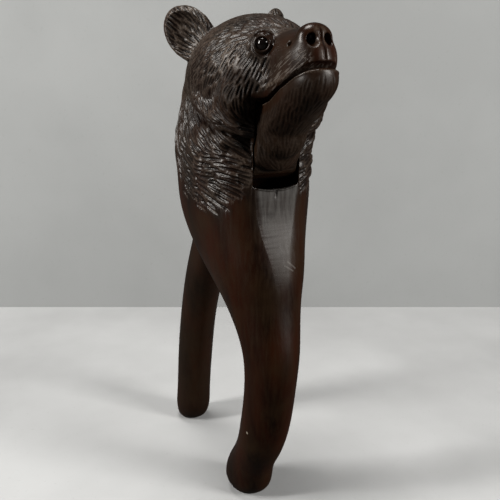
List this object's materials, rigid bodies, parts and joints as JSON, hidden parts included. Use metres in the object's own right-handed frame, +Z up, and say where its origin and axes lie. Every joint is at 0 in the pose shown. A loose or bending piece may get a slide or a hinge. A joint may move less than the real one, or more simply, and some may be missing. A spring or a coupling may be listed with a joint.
{
  "type": "lever nutcracker",
  "caption": "Carved wooden bear's head nutcracker: two crossed levers pivot on a hidden pin, so squeezing the handles closes the lower jaw on a nut.",
  "frame": {"origin": "centre of the flat under the front handle's foot, on the table top", "axes": "+Z up through the head, the bear looks along -Y, X across the head with the bear's right side at -X"},
  "size_m": [0.0522, 0.1383, 0.2054],
  "materials": {
    "wood_head": "dark stained and waxed carving",
    "wood_jaw": "dark stained and waxed carving",
    "wood_plug": "dark stained and waxed",
    "pin_steel": "drawn wire",
    "eye_glass": "polished black",
    "eye_wire": "annealed wire"
  },
  "bodies": {
    "head": {"head_and_front_handle": "wood_head", "pivot_pin": "pin_steel", "pin_plug_right": "wood_plug", "pin_plug_left": "wood_plug", "eye_right": "eye_glass", "eye_left": "eye_glass", "eye_wire_right": "eye_wire", "eye_wire_left": "eye_wire"},
    "jaw": {"jaw_and_rear_handle": "wood_jaw"}
  },
  "joints": [
    {"name": "jaw_hinge", "type": "hinge", "parent": "head", "child": "jaw", "pos_m": [0, -0.005, 0.146], "axis": [1, 0, 0], "range_deg": [-1.2, 16]}
  ]
}
